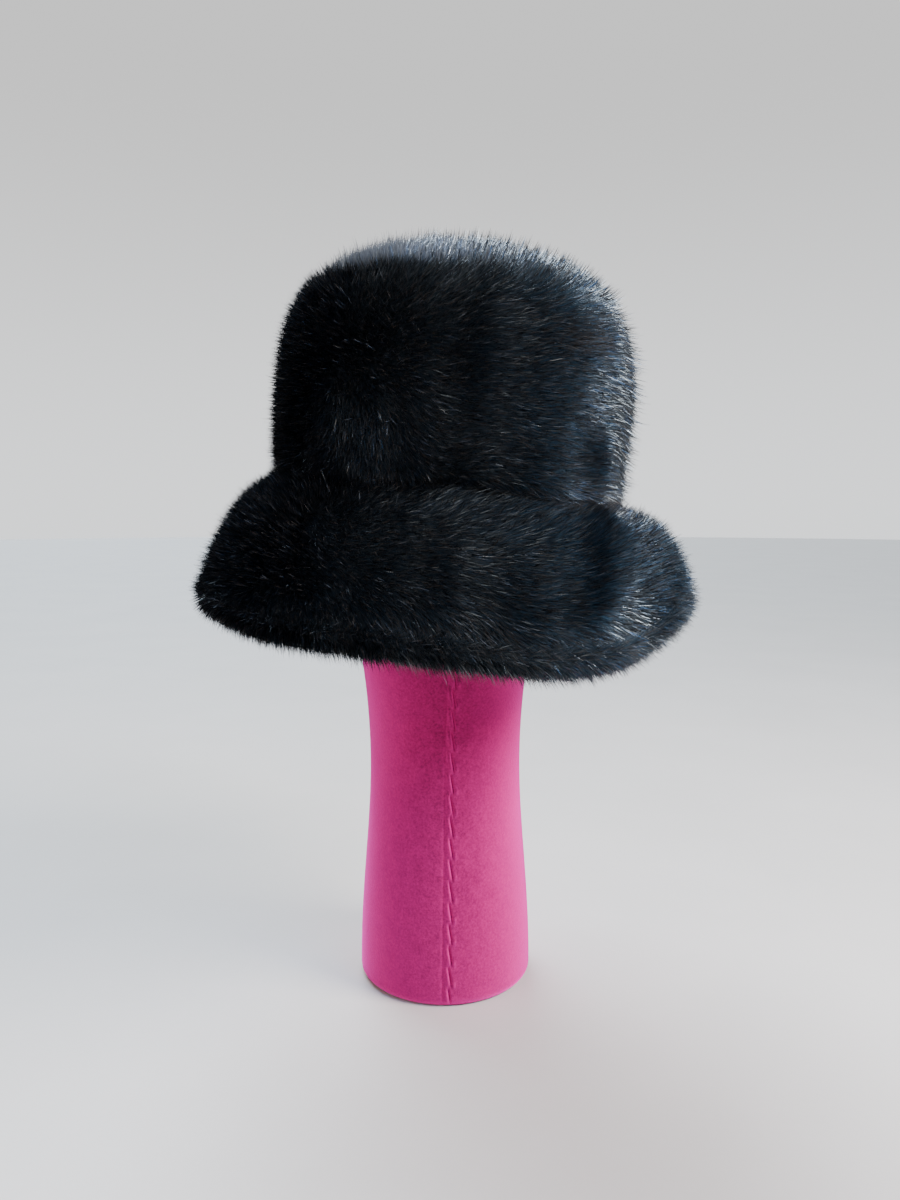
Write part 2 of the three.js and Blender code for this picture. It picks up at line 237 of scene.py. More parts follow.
def crown_dent(form, azimuth, height):
    """Sum of the dents: each a bell over azimuth and height."""
    degrees = np.degrees(azimuth)[..., None]
    at, high, spread, reach, push = CROWN_DENTS.T
    upwards = (height[..., None] / form.crown_height - high) / reach
    return (push * form.crown_wall * hill(degrees, at, spread) * np.exp(-upwards ** 2)).sum(axis=-1)


def side_face(form, azimuth, up):
    """Outer face of the crown's side, up 0 at the lower seam and 1 at the tip seam: an oval that narrows as the
    crown's profile does, pinched in at the lower seam and moved in and out by the dents."""
    low = junction(form, azimuth)
    high = form.seam_share * form.crown_height
    height = low + (high - low) * up
    fade = np.sqrt(np.maximum(0, np.sin(math.pi * np.clip(up, 0, 1))))
    crease = form.crease_depth * np.exp(-((height - low) / form.crease_height) ** 2)
    push = fade * crown_dent(form, azimuth, height) - crease
    narrow = crown_share(form, height / form.crown_height)
    return oval(azimuth, form.crown_half_width * narrow + push, form.crown_half_depth * narrow + push, height)


def tip_face(form, east, north):
    """Outer face of the crown's tip over the plan: east and north are shares of the half width and half depth."""
    height = form.crown_height * crown_height_share(form, np.sqrt(east ** 2 + north ** 2))
    return np.stack([form.crown_half_width * east, form.crown_half_depth * north, height], axis=-1)


def crown_inner(form, azimuth, height_share):
    """Inner face of the crown: the same profile, smaller by the wall all round."""
    narrow = crown_share(form, height_share)
    wall = form.crown_wall
    return oval(azimuth, (form.crown_half_width - wall) * narrow, (form.crown_half_depth - wall) * narrow,
                (form.crown_height - wall) * height_share)


def brim_face(form, azimuth, walk):
    """Skin of the brim, walked from the lower seam's inside (0) over the underside to the edge (1), round the edge
    (to 2) and up the outer face to the seam (3). The middle line is a quadratic Bezier curve from the seam to the
    edge in an upright plane; the face stands half the thickness away from it, and the edge is a half circle."""
    azimuth, walk = np.broadcast_arrays(azimuth, walk)
    seam = oval(azimuth, form.crown_half_width, form.crown_half_depth, junction(form, azimuth) - form.seam_gap)
    rim = oval(azimuth, form.brim_half_width, form.brim_half_depth, -form.brim_drop * brim_column(azimuth, DROP))
    rim[..., 0] += form.brim_shift
    outwards = rim[..., :2] - seam[..., :2]
    reach = np.linalg.norm(outwards, axis=-1)
    outwards = outwards / reach[..., None]
    top_half = (form.crown_wall - form.crease_depth) / 2
    edge_half = form.brim_edge / 2
    start = np.stack([np.full_like(reach, -form.crease_depth - top_half), seam[..., 2]], axis=-1)
    end = np.stack([reach - edge_half, rim[..., 2] + edge_half], axis=-1)
    chord = unit(end - start)
    knee = (start + end) / 2 + 2 * form.brim_bell * np.stack([-chord[..., 1], chord[..., 0]], axis=-1)
    under, over = walk <= 1, walk >= 2
    along = np.where(under, walk, np.where(over, 3 - walk, 1.0))
    t = along[..., None]
    middle = (1 - t) ** 2 * start + 2 * t * (1 - t) * knee + t ** 2 * end
    tangent = unit((1 - t) * (knee - start) + t * (end - knee))
    square = np.stack([-tangent[..., 1], tangent[..., 0]], axis=-1)
    turned = smooth_step(along, 0, 0.35)[..., None]
    across = unit((1 - turned) * np.array([1.0, 0.0]) + turned * square)
    half = top_half + (edge_half - top_half) * smooth_step(along, 0, 0.45)
    fold = form.brim_fold * brim_column(azimuth, FOLD) * np.sin(math.pi * np.minimum(1, along * 0.72))
    turn = np.clip(2 - walk, 0, 1) * math.pi
    ahead = np.stack([across[..., 1], -across[..., 0]], axis=-1)
    spoke = np.cos(turn)[..., None] * across + np.sin(turn)[..., None] * ahead
    flat = middle + fold[..., None] * across + half[..., None] * spoke
    return np.stack([seam[..., 0] + outwards[..., 0] * flat[..., 0],
                     seam[..., 1] + outwards[..., 1] * flat[..., 0], flat[..., 1]], axis=-1)


def place_hat(form, stand, points):
    """Leans the hat to the right and sets it down, so that the flat inside its tip bears on the stand's dome."""
    flat_share = form.tip_flat / (form.crown_half_depth - form.crown_wall)
    inner_tip = (form.crown_height - form.crown_wall) * float(crown_height_share(form, flat_share))
    turn = np.array([[math.cos(form.lean), 0, math.sin(form.lean)], [0, 1, 0],
                     [-math.sin(form.lean), 0, math.cos(form.lean)]])
    dome_in_hat = turn @ np.array([-form.offset, 0, inner_tip - form.seam_gap - stand.head_radius])
    return points @ turn.T + np.array([0, 0, stand.height - stand.head_radius]) - dome_in_hat


def frames(face, u, v, step=1e-4):
    """Point, eastward and upward unit tangents and outward normal of a face, by central differences."""
    point = face(u, v)
    east = unit(face(u + step, v) - face(u - step, v))
    up = face(u, v + step) - face(u, v - step)
    normal = unit(np.cross(east, up))
    return point, east, np.cross(normal, east), normal


# ---- Meshes ----

def ring_faces(rows, columns, closed):
    """Quads of a stack of closed rings; closed joins the last ring to the first."""
    row, column = np.meshgrid(np.arange(rows if closed else rows - 1), np.arange(columns), indexing="ij")
    after, above = (column + 1) % columns, (row + 1) % rows
    return np.stack([row * columns + column, row * columns + after,
                     above * columns + after, above * columns + column], axis=-1).reshape(-1, 4)


def add_mesh(name, points, faces, smooth=True, uvs=None):
    """A mesh object from an array of points and an array of faces with equally many corners."""
    mesh = bpy.data.meshes.new(name)
    corners = faces.shape[1]
    mesh.vertices.add(len(points))
    mesh.vertices.foreach_set("co", np.ascontiguousarray(points, np.float32).ravel())
    mesh.loops.add(faces.size)
    mesh.loops.foreach_set("vertex_index", np.ascontiguousarray(faces, np.int32).ravel())
    mesh.polygons.add(len(faces))
    mesh.polygons.foreach_set("loop_start", np.arange(0, faces.size, corners, dtype=np.int32))
    mesh.polygons.foreach_set("use_smooth", np.full(len(faces), smooth))
    if uvs is not None:
        layer = mesh.uv_layers.new(name="OFBake")
        layer.data.foreach_set("uv", np.ascontiguousarray(uvs[faces.ravel()], np.float32).ravel())
    mesh.update(calc_edges=True)
    piece = bpy.data.objects.new(name, mesh)
    bpy.context.scene.collection.objects.link(piece)
    return piece


def settle(piece, material, slot, *nodes):
    """Gives a piece its material and its body, and says which solids it stands for. The slot is not used."""
    piece.data.materials.append(material)
    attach(piece, "root")
    if nodes:
        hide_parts(*nodes)
    return piece


# ---- Materials ----

def new_material(name):
    """An empty node material with its Principled shader and output."""
    material = bpy.data.materials.new(name)
    material.use_nodes = True
    tree = material.node_tree
    tree.nodes.clear()
    output = tree.nodes.new("ShaderNodeOutputMaterial")
    shader = tree.nodes.new("ShaderNodeBsdfPrincipled")
    tree.links.new(shader.outputs["BSDF"], output.inputs["Surface"])
    return material, tree, shader


def add_node(tree, kind, **values):
    """A shader node with its settings and input values."""
    node = tree.nodes.new(kind)
    for key, value in values.items():
        if key in node.inputs:
            node.inputs[key].default_value = value
        else:
            setattr(node, key, value)
    return node


def set_ramp(node, stops):
    """Fills a colour ramp with (place, colour) stops."""
    ramp = node.color_ramp
    while len(ramp.elements) > 1:
        ramp.elements.remove(ramp.elements[-1])
    ramp.elements[0].position, ramp.elements[0].color = stops[0][0], (*stops[0][1], 1)
    for place, value in stops[1:]:
        ramp.elements.new(place).color = (*value, 1)


def hair_material(pile):
    """Glossy black hair. The map's first axis is the hair's own shade, the second runs from root to tip, along which
    the colour is darkened towards the root as painted shade.
    """
    material, tree, shader = new_material("guard_hair")
    link = tree.links.new
    place = add_node(tree, "ShaderNodeUVMap", uv_map="OFBake")
    split = add_node(tree, "ShaderNodeSeparateXYZ")
    link(place.outputs["UV"], split.inputs[0])
    shade = add_node(tree, "ShaderNodeValToRGB")
    # The stop at 0.32 is the painted teal that stands in for the sky's reflection on the short hairs
    set_ramp(shade, [(0.0, tuple(pile.black)), (0.32, tuple(pile.painted_sky_teal)), (0.36, (0.006, 0.006, 0.007)),
                     (0.63, (0.014, 0.014, 0.015)),
                     (0.70, tuple(pile.brown)), (0.80, tuple(np.array(pile.brown) * 1.6)),
                     (0.86, tuple(pile.grey)), (0.92, tuple(pile.grey)), (0.95, tuple(pile.lint))])
    link(split.outputs["X"], shade.inputs["Fac"])
    # Painted shade: the colour is darkened towards the root, where the pile shades itself, and made lighter towards
    # the tip
    fade = add_node(tree, "ShaderNodeValToRGB")
    set_ramp(fade, [(0.0, (0.15, 0.15, 0.15)), (0.45, (0.7, 0.7, 0.7)), (0.8, (1, 1, 1)), (1.0, (1.5, 1.4, 1.35))])
    link(split.outputs["Y"], fade.inputs["Fac"])
    mix = add_node(tree, "ShaderNodeMix", data_type="RGBA", blend_type="MULTIPLY")
    mix.inputs[0].default_value = 1.0
    link(shade.outputs["Color"], mix.inputs[6])
    link(fade.outputs["Color"], mix.inputs[7])
    link(mix.outputs[2], shader.inputs["Base Color"])
    rough = add_node(tree, "ShaderNodeMapRange", interpolation_type="SMOOTHSTEP")
    rough.inputs["From Min"].default_value = 0.28
    rough.inputs["From Max"].default_value = 0.55
    rough.inputs["To Min"].default_value = pile.under_roughness
    rough.inputs["To Max"].default_value = pile.roughness
    link(split.outputs["X"], rough.inputs["Value"])
    link(rough.outputs["Result"], shader.inputs["Roughness"])
    shader.inputs["Specular IOR Level"].default_value = 0.7
    shader.inputs["Specular Tint"].default_value = (*pile.sheen, 1)
    return material


def paint_edge_sheen(tree, shader, edge):
    """Painted sheen: mixes the colour with another one, more so the more the surface turns away from view, standing in
    for the light a nap catches at its edges.
    """
    inner = shader.inputs["Base Color"].links[0].from_socket
    turned = add_node(tree, "ShaderNodeLayerWeight", Blend=0.4)
    mix = add_node(tree, "ShaderNodeMix", data_type="RGBA")
    tree.links.new(turned.outputs["Facing"], mix.inputs[0])
    tree.links.new(inner, mix.inputs[6])
    mix.inputs[7].default_value = (*edge, 1)
    tree.links.new(mix.outputs[2], shader.inputs["Base Color"])


def speckle_group():
    """Shared grain: noise in two sizes mixed to a mask, and the fine noise as a height."""
    group = bpy.data.node_groups.new("grain", "ShaderNodeTree")
    face = group.interface
    face.new_socket("Coordinate", in_out="INPUT", socket_type="NodeSocketVector")
    face.new_socket("Coarse", in_out="INPUT", socket_type="NodeSocketFloat").default_value = 40.0
    face.new_socket("Fine", in_out="INPUT", socket_type="NodeSocketFloat").default_value = 900.0
    face.new_socket("Balance", in_out="INPUT", socket_type="NodeSocketFloat").default_value = 0.4
    face.new_socket("Mask", in_out="OUTPUT", socket_type="NodeSocketFloat")
    face.new_socket("Height", in_out="OUTPUT", socket_type="NodeSocketFloat")
    entry = group.nodes.new("NodeGroupInput")
    leave = group.nodes.new("NodeGroupOutput")
    coarse = add_node(group, "ShaderNodeTexNoise", Detail=5.0, Roughness=0.62)
    fine = add_node(group, "ShaderNodeTexNoise", Detail=3.0, Roughness=0.7)
    blend = add_node(group, "ShaderNodeMix", data_type="FLOAT")
    group.links.new(entry.outputs["Coordinate"], coarse.inputs["Vector"])
    group.links.new(entry.outputs["Coordinate"], fine.inputs["Vector"])
    group.links.new(entry.outputs["Coarse"], coarse.inputs["Scale"])
    group.links.new(entry.outputs["Fine"], fine.inputs["Scale"])
    group.links.new(entry.outputs["Balance"], blend.inputs["Factor"])
    group.links.new(coarse.outputs["Fac"], blend.inputs["A"])
    group.links.new(fine.outputs["Fac"], blend.inputs["B"])
    group.links.new(blend.outputs["Result"], leave.inputs["Mask"])
    group.links.new(fine.outputs["Fac"], leave.inputs["Height"])
    return group


def grained_material(name, grain, coarse, fine, balance, dark, light, roughness, bump, gloss=0.5,
                     sheen=0.0, sheen_tint=(1, 1, 1)):
    """A surface whose colour runs between two shades with the grain, and whose grain is raised."""
    material, tree, shader = new_material(name)
    link = tree.links.new
    place = add_node(tree, "ShaderNodeTexCoord")
    grains = add_node(tree, "ShaderNodeGroup")
    grains.node_tree = grain
    grains.inputs["Coarse"].default_value = coarse
    grains.inputs["Fine"].default_value = fine
    grains.inputs["Balance"].default_value = balance
    link(place.outputs["Object"], grains.inputs["Coordinate"])
    shade = add_node(tree, "ShaderNodeValToRGB")
    set_ramp(shade, [(0.36, dark), (0.64, light)])
    link(grains.outputs["Mask"], shade.inputs["Fac"])
    link(shade.outputs["Color"], shader.inputs["Base Color"])
    raised = add_node(tree, "ShaderNodeBump")
    raised.inputs["Strength"].default_value = bump
    raised.inputs["Distance"].default_value = 0.0006
    link(grains.outputs["Height"], raised.inputs["Height"])
    link(raised.outputs["Normal"], shader.inputs["Normal"])
    shader.inputs["Roughness"].default_value = roughness
    shader.inputs["Specular IOR Level"].default_value = gloss
    shader.inputs["Sheen Weight"].default_value = sheen
    shader.inputs["Sheen Roughness"].default_value = 0.5
    shader.inputs["Sheen Tint"].default_value = (*sheen_tint, 1)
    return material, tree, shader


# ---- Pile ----

def clump_pull(east, up, size, seed):
    """From each hair to the nearest clump centre, on a plan in metres: one centre somewhere in each cell of a grid."""
    rng = np.random.default_rng(seed)
    jitter = rng.uniform(0.1, 0.9, (257, 257, 2))
    cell_x, cell_y = np.floor(east / size).astype(int), np.floor(up / size).astype(int)
    best = np.full(east.shape, np.inf)
    pull = np.zeros(east.shape + (2,))
    for step_x in (-1, 0, 1):
        for step_y in (-1, 0, 1):
            column, row = cell_x + step_x, cell_y + step_y
            spot = jitter[column % 257, row % 257]
            gap_x = (column + spot[..., 0]) * size - east
            gap_y = (row + spot[..., 1]) * size - up
            apart = gap_x ** 2 + gap_y ** 2
            nearer = apart < best
            best = np.where(nearer, apart, best)
            pull[..., 0] = np.where(nearer, gap_x, pull[..., 0])
            pull[..., 1] = np.where(nearer, gap_y, pull[..., 1])
    return pull


def scatter(face, low, high, count, rng, weight=None):
    """Places spread evenly over the face between two corners of its parameters, by rejection on area."""
    found = []
    have = 0
    while have < count:
        u = rng.uniform(low[0], high[0], 2 * count)
        v = rng.uniform(low[1], high[1], 2 * count)
        step = 1e-4
        area = np.linalg.norm(np.cross(face(u + step, v) - face(u - step, v), face(u, v + step) - face(u, v - step)), axis=1)
        if weight is not None:
            area = area * weight(u, v)
        keep = rng.uniform(size=2 * count) * np.quantile(area, 0.995) < area
        found.append(np.stack([u[keep], v[keep]], axis=1))
        have += int(keep.sum())
    return np.concatenate(found)[:count].T


def comb(name, pile, place, face, u, v, plan, flow, lift, hang, tones, rng, seed):
    """Hairs on a face. Each is a thin triangle with its foot on the skin under the face. It points along the flow,
    an angle in degrees from the eastward tangent towards the upward one, raised by the lift in degrees; hang mixes
    in the way of a hair that droops over an edge, and its tip is drawn towards the nearest clump centre. The tones
    are the share of brown hairs beyond the usual few, the share of grey hairs painted in as sheen, and how far
    the short hairs are painted teal as the sky's reflection."""
    warm, painted_sheen_grey, sky_reflection_share = tones
    point, east, up, normal = frames(face, u, v)
    count = len(u)
    broad = drift(point, 0.045, 1)
    small = drift(point, 0.014, 2)
    guard = rng.uniform(size=count) < pile.guard_share
    stray = np.where(guard, 9.0, 5.0)
    angle = np.radians(flow + 8 * broad + 5 * small + rng.normal(0, 1, count) * stray)
    raised = lift + 7 * drift(point, 0.035, 3) + rng.normal(0, 1, count) * stray
    size = pile.hair_length * np.where(guard, rng.normal(1.0, 0.12, count), rng.uniform(0.60, 0.88, count))
    bristle = guard & (rng.uniform(size=count) < 0.10)
    raised = np.radians(np.clip(raised + 10 * guard + 42 * bristle, 6, 80))
    lying = np.cos(angle)[:, None] * east + np.sin(angle)[:, None] * up
    way = np.cos(raised)[:, None] * lying + np.sin(raised)[:, None] * normal
    droop = unit(0.5 * east + 0.45 * normal + np.array([0, 0, -0.75]))
    way = unit((1 - hang)[:, None] * way + hang[:, None] * droop)
    pull = clump_pull(plan[0], plan[1], pile.clump, seed) * (pile.clumping * rng.uniform(0.5, 1.2, count))[:, None]
    foot = point - pile.depth * normal
    tip = foot + size[:, None] * way + pull[:, :1] * east + pull[:, 1:] * up
    way = unit(tip - foot)
    side = unit(np.cross(way, normal))
    square = np.cross(side, way)
    roll = rng.uniform(-0.9, 0.9, count)[:, None]
    across = (np.cos(roll) * side + np.sin(roll) * square) * (pile.hair_width * np.where(guard, 1.25, 0.95) * rng.uniform(0.7, 1.25, count) / 2)[:, None]
    points = np.stack([foot - across, foot + across, tip], axis=1).reshape(-1, 3)
    kind = rng.uniform(size=count)
    # Short hairs run from black towards the painted teal of the sky's reflection, as far as the reflection share says
    shade = np.where(guard, rng.uniform(0.36, 0.62, count), sky_reflection_share * rng.uniform(0.0, 0.30, count))
    brown = rng.uniform(size=count) < np.where(guard, 0.18, 0.0) + warm
    shade = np.where(brown, rng.uniform(0.66, 0.80, count), shade)
    # Grey hairs: a few guard hairs everywhere, and more where grey is painted in as sheen
    shade = np.where(guard & (kind > 0.965) | (kind < painted_sheen_grey), rng.uniform(0.84, 0.90, count), shade)
    shade = np.where(guard & (kind > 0.9987), rng.uniform(0.94, 0.96, count), shade)
    band = 0.03
    uvs = np.stack([np.stack([shade, np.full(count, 0.02)], 1), np.stack([shade + band, np.full(count, 0.02)], 1),
                    np.stack([shade + band / 2, np.full(count, 0.98)], 1)], axis=1).reshape(-1, 2)
    faces = np.arange(3 * count).reshape(-1, 3)
    return add_mesh(name, place(points), faces, smooth=False, uvs=uvs)


def side_comb(azimuth, up):
    """Flow and lift of the crown's side, read from the photograph's strands: along the side to the right, rising
    under the tip seam, falling low at the left front, flat where the side shines at the right and upright in the
    dent beside it."""
    low_left = 0.85 * hill(azimuth, -122, 22) * (1 - smooth_step(up, 0.25, 0.66))
    right = 1 - smooth_step(azimuth, 40, 80)
    flow = (-8 + 30 * hill(azimuth, -112, 32) * smooth_step(up, 0.55, 0.95) - 64 * low_left
            + 30 * hill(azimuth, -88, 15) * (1 - smooth_step(up, 0.06, 0.30))
            - 40 * smooth_step(azimuth, -41, -25) * right + 58 * hill(azimuth, -64, 18) * smooth_step(up, 0.86, 1.0))
    lift = (32 + 15 * hill(azimuth, -165, 30) - 20 * low_left + 3 * hill(azimuth, -92, 14)
            + 13 * hill(azimuth, -68, 13) - 15 * hill(azimuth, -44, 11) - 27 * smooth_step(azimuth, -43, -27) * right
            + 50 * hill(azimuth, -44, 9) * hill(up, 0.21, 0.14) + 16 * hill(azimuth, -50, 12) * hill(up, 0.72, 0.10)
            + 8 * (1 - smooth_step(up, 0.0, 0.08)) + 14 * hill(azimuth, -122, 22) * (1 - smooth_step(up, 0.04, 0.22)))
    return flow, np.clip(lift, 5, 75)


def side_tones(azimuth, up):
    """Tones of the crown's side: brown in a tuft at the right shoulder and over the brim there, and teal painted to
    the right as the sky's reflection.
    """
    warm = (0.6 * hill(azimuth, -53, 11) * np.exp(-((up - 0.74) / 0.07) ** 2)
            + 0.6 * hill(azimuth, -36, 20) * (1 - smooth_step(up, 0.02, 0.14)))
    return warm, 0.0, painted_sky_reflection(azimuth)


def tip_tones(azimuth, reach, north):
    """Tones of the crown's tip: brown to the back, grey hairs painted in as sheen at the left front shoulder, and teal
    painted at half strength as the sky's reflection.
    """
    # Painted sheen: grey hairs standing in for the sky's sheen at the left end of the band behind the tip seam
    painted_sheen_grey = smooth_step(reach, 0.45, 0.75) * hill(azimuth, -124, 38)
    return 0.5 * smooth_step(north, -0.1, 0.5), painted_sheen_grey, 0.5


def brim_tones(azimuth, walk):
    """Tones of the brim: brown along the crown at the right, and teal painted to the right as the sky's reflection."""
    return 0.6 * hill(azimuth, -38, 20) * smooth_step(walk, 2.88, 2.98), 0.0, painted_sky_reflection(azimuth)


def painted_sky_reflection(azimuth):
    """How far the short hairs are painted teal as the sky's reflection: least at the left and the back, fully at the
    right.
    """
    return 0.2 + 0.8 * smooth_step(azimuth, -88, -48) * (1 - smooth_step(azimuth, 20, 60))


def brim_comb(azimuth, walk):
    """Flow, lift and hang of the brim: along the brim to the right, more and more downwards to the edge, and
    hanging past it; below, towards the edge. A flat-lying stripe shines from the seam down to the right front of
    the edge, with a fuller valley left of it."""
    down = np.clip(3 - walk, 0, 1)
    upper = walk > 2
    low = smooth_step(down, 0.60, 1.0)
    shine = -24 - 22 * down - 3 * low
    apart = smooth_step(azimuth, shine + 8, shine + 18) * (1 - smooth_step(azimuth, 60, 90))
    flow = np.where(upper, -12 - 30 * smooth_step(down, 0.45, 1.0) * (1 - hill(azimuth, -178, 42))
                    + 32 * hill(azimuth, -92, 16) * (1 - smooth_step(down, 0.10, 0.35)) - 16 * apart, 40.0)
    lift = np.where(upper, 34 + 14 * hill(azimuth, -165, 40) - 13 * hill(azimuth, -97, 26)
                    - (17 + 20 * low) * hill(azimuth, shine, 8 + 13 * low) + 44 * hill(azimuth, shine - 18, 10) * (1 - low)
                    + 17 * apart * (1 - smooth_step(azimuth, 0, 40)), 32.0) + 6 * (1 - np.abs(walk - 1.5).clip(0, 1))
    edge = np.clip(1 - np.abs(walk - 1.5) / 0.5, 0, 1)
    hang = 0.62 * smooth_step(edge, 0, 0.8) + 0.25 * smooth_step(down, 0.80, 1.0) * upper
    return flow, np.clip(lift, 8, 75), np.clip(hang, 0, 0.8)


# ---- Operators ----

class FURHAT_OT_pelts(Operator):
    """Builds the skins under the pile: the crown's tip and side and the brim, with their inner faces"""
    bl_idname = "furhat.pelts"
    bl_label = "Pelts"

    def execute(self, context):
        form, stand, pile = context.scene.furhat_form, context.scene.furhat_stand, context.scene.furhat_pile
        grain = bpy.data.node_groups.get("grain") or speckle_group()
        skin, _, _ = grained_material("undercoat", grain, 120.0, 1600.0, 0.4, (0.002, 0.002, 0.0025),
                                      (0.007, 0.0065, 0.0065), 0.85, 0.6)
        hide, _, _ = grained_material("hide", grain, 70.0, 1400.0, 0.4, (0.010, 0.009, 0.009),
                                      (0.024, 0.020, 0.018), 0.8, 0.5, sheen=0.15)
        around = np.linspace(-math.pi, math.pi, 168, endpoint=False)[None, :]

        def sunk(face, u, v):
            point, _, _, normal = frames(face, u, v)
            return point - pile.depth * normal

        def shell(name, rings, closed, ends, material, inside_rows):
            rows, columns = rings.shape[0], rings.shape[1]
            points = rings.reshape(-1, 3)
            faces = ring_faces(rows, columns, closed)
            inside = np.repeat(inside_rows, columns)
            if ends:
                caps = []
                for row, swap in ((0, True), (rows - 1, False)):
                    ring = np.arange(columns) + row * columns
                    pair = (np.roll(ring, -1), ring) if swap else (ring, np.roll(ring, -1))
                    centre = np.full(columns, len(points))
                    points = np.concatenate([points, rings[row].mean(axis=0, keepdims=True)])
                    caps.append(np.stack([pair[0], pair[1], centre, centre], axis=-1))
                quads, tops = faces, np.concatenate(caps)[:, :3]
                mesh = bpy.data.meshes.new(name)
                mesh.from_pydata(place_hat(form, stand, points).tolist(), [], quads.tolist() + tops.tolist())
                mesh.polygons.foreach_set("use_smooth", np.full(len(quads) + len(tops), True))
                piece = bpy.data.objects.new(name, mesh)
                context.scene.collection.objects.link(piece)
                inside = np.concatenate([inside, np.ones(columns, bool), np.zeros(columns, bool)])
            else:
                piece = add_mesh(name, place_hat(form, stand, points), faces)
            piece.data.set_sharp_from_angle(angle=math.radians(50))
            settle(piece, material, "fur", name.replace("pelt_", ""))
            piece.data.materials.append(hide)
            piece.data.polygons.foreach_set("material_index", inside.astype(np.int32))
            return piece

        up = np.linspace(0, 1, 41)[:, None]
        inner_height = form.crown_height - form.crown_wall
        low = junction(form, around) / inner_height
        drop = np.linspace(0, 1, 17)[:, None]
        outer = sunk(lambda u, v: side_face(form, u, v), around + 0 * up, up + 0 * around)
        inner = crown_inner(form, around, form.seam_share + (low - form.seam_share) * drop)
        shell("pelt_crown_side", np.concatenate([outer, inner]), True, False, skin,
              np.concatenate([np.zeros(40, bool), np.ones(18, bool)]))

        walk = np.concatenate([np.linspace(0, 1, 25)[:-1], np.linspace(1, 2, 13)[:-1], np.linspace(2, 3, 37)])[:, None]
        skin_rings = sunk(lambda u, v: brim_face(form, u, v), around + 0 * walk, np.clip(walk, 0.001, 2.999) + 0 * around)
        shell("pelt_brim", skin_rings, True, False, skin, np.zeros(73, bool))

        gap = form.seam_gap
        outer_seam = crown_share(form, form.seam_share + gap / form.crown_height)
        inner_seam = crown_share(form, form.seam_share + gap / inner_height)
        flat_share = form.tip_flat / (form.crown_half_depth - form.crown_wall)
        within = np.linspace(0, 1, 29)[:-1, None]
        reach = outer_seam * (1 - within)
        outer = sunk(lambda u, v: tip_face(form, u, v), reach * np.cos(around), reach * np.sin(around))
        inner = crown_inner(form, around, crown_height_share(form, np.linspace(flat_share, inner_seam, 13)[:, None]))
        shell("pelt_crown_tip", np.concatenate([inner, outer]), False, True, skin,
              np.concatenate([np.ones(13, bool), np.zeros(27, bool)]))
        return {"FINISHED"}


class FURHAT_OT_pile(Operator):
    """Grows the fur: thin hairs on the crown's tip and side and on both faces of the brim"""
    bl_idname = "furhat.pile"
    bl_label = "Pile"

    def execute(self, context):
        form, stand, pile = context.scene.furhat_form, context.scene.furhat_stand, context.scene.furhat_pile
        hair = hair_material(pile)

        def place(points):
            return place_hat(form, stand, points)

        mean_radius = (form.crown_half_width + form.crown_half_depth) / 2
        crown_run = form.seam_share * form.crown_height

        def side(u, v):
            return side_face(form, u, v)

        for name, low, high, seed in (("fur_side_front", -math.pi, 0, 11), ("fur_side_back", 0, math.pi, 12)):
            rng = np.random.default_rng(pile.seed + seed)
            u, v = scatter(side, (low, 0.0), (high, 1.0), pile.side_hairs, rng)
            flow, lift = side_comb(np.degrees(u), v)
            piece = comb(name, pile, place, side, u, v, (u * mean_radius, v * crown_run), flow, lift,
                         np.zeros(len(u)), side_tones(np.degrees(u), v), rng, seed)
            settle(piece, hair, "fur", "crown_side")

        def tip(u, v):
            return tip_face(form, u, v)

        rng = np.random.default_rng(pile.seed + 13)
        edge = float(crown_share(form, form.seam_share))
        u, v = scatter(tip, (-edge, -edge), (edge, edge), pile.tip_hairs, rng,
                       lambda a, b: (a ** 2 + b ** 2 < edge ** 2) * 1.0)
        reach = np.sqrt(u ** 2 + v ** 2) / edge
        lift = 18 + 14 * smooth_step(reach, 0.90, 1.0)
        piece = comb("fur_tip", pile, place, tip, u, v, (u * mean_radius, v * mean_radius),
                     66 + 66 * np.clip(u, -0.6, 0.1), lift, np.zeros(len(u)),
                     tip_tones(np.degrees(np.arctan2(v, u)), reach, v), rng, 13)
        settle(piece, hair, "fur", "crown_tip")

        def brim(u, v):
            return brim_face(form, u, v)

        rim_radius = (form.brim_half_width + form.brim_half_depth) / 2
        for name, low, high, count, seed in (
                ("fur_brim_front", (-math.pi, 1.15), (0, 3.0), pile.brim_hairs, 14),
                ("fur_brim_back", (0, 1.15), (math.pi, 3.0), pile.brim_hairs, 15),
                ("fur_brim_under", (-math.pi, 0.0), (math.pi, 1.15), pile.under_hairs, 16)):
            rng = np.random.default_rng(pile.seed + seed)
            u, v = scatter(brim, low, high, count, rng)
            flow, lift, hang = brim_comb(np.degrees(u), v)
            piece = comb(name, pile, place, brim, u, v, (u * rim_radius, v * form.brim_drop), flow, lift,
                         hang, brim_tones(np.degrees(u), v), rng, seed)
            settle(piece, hair, "fur", "brim")
        return {"FINISHED"}


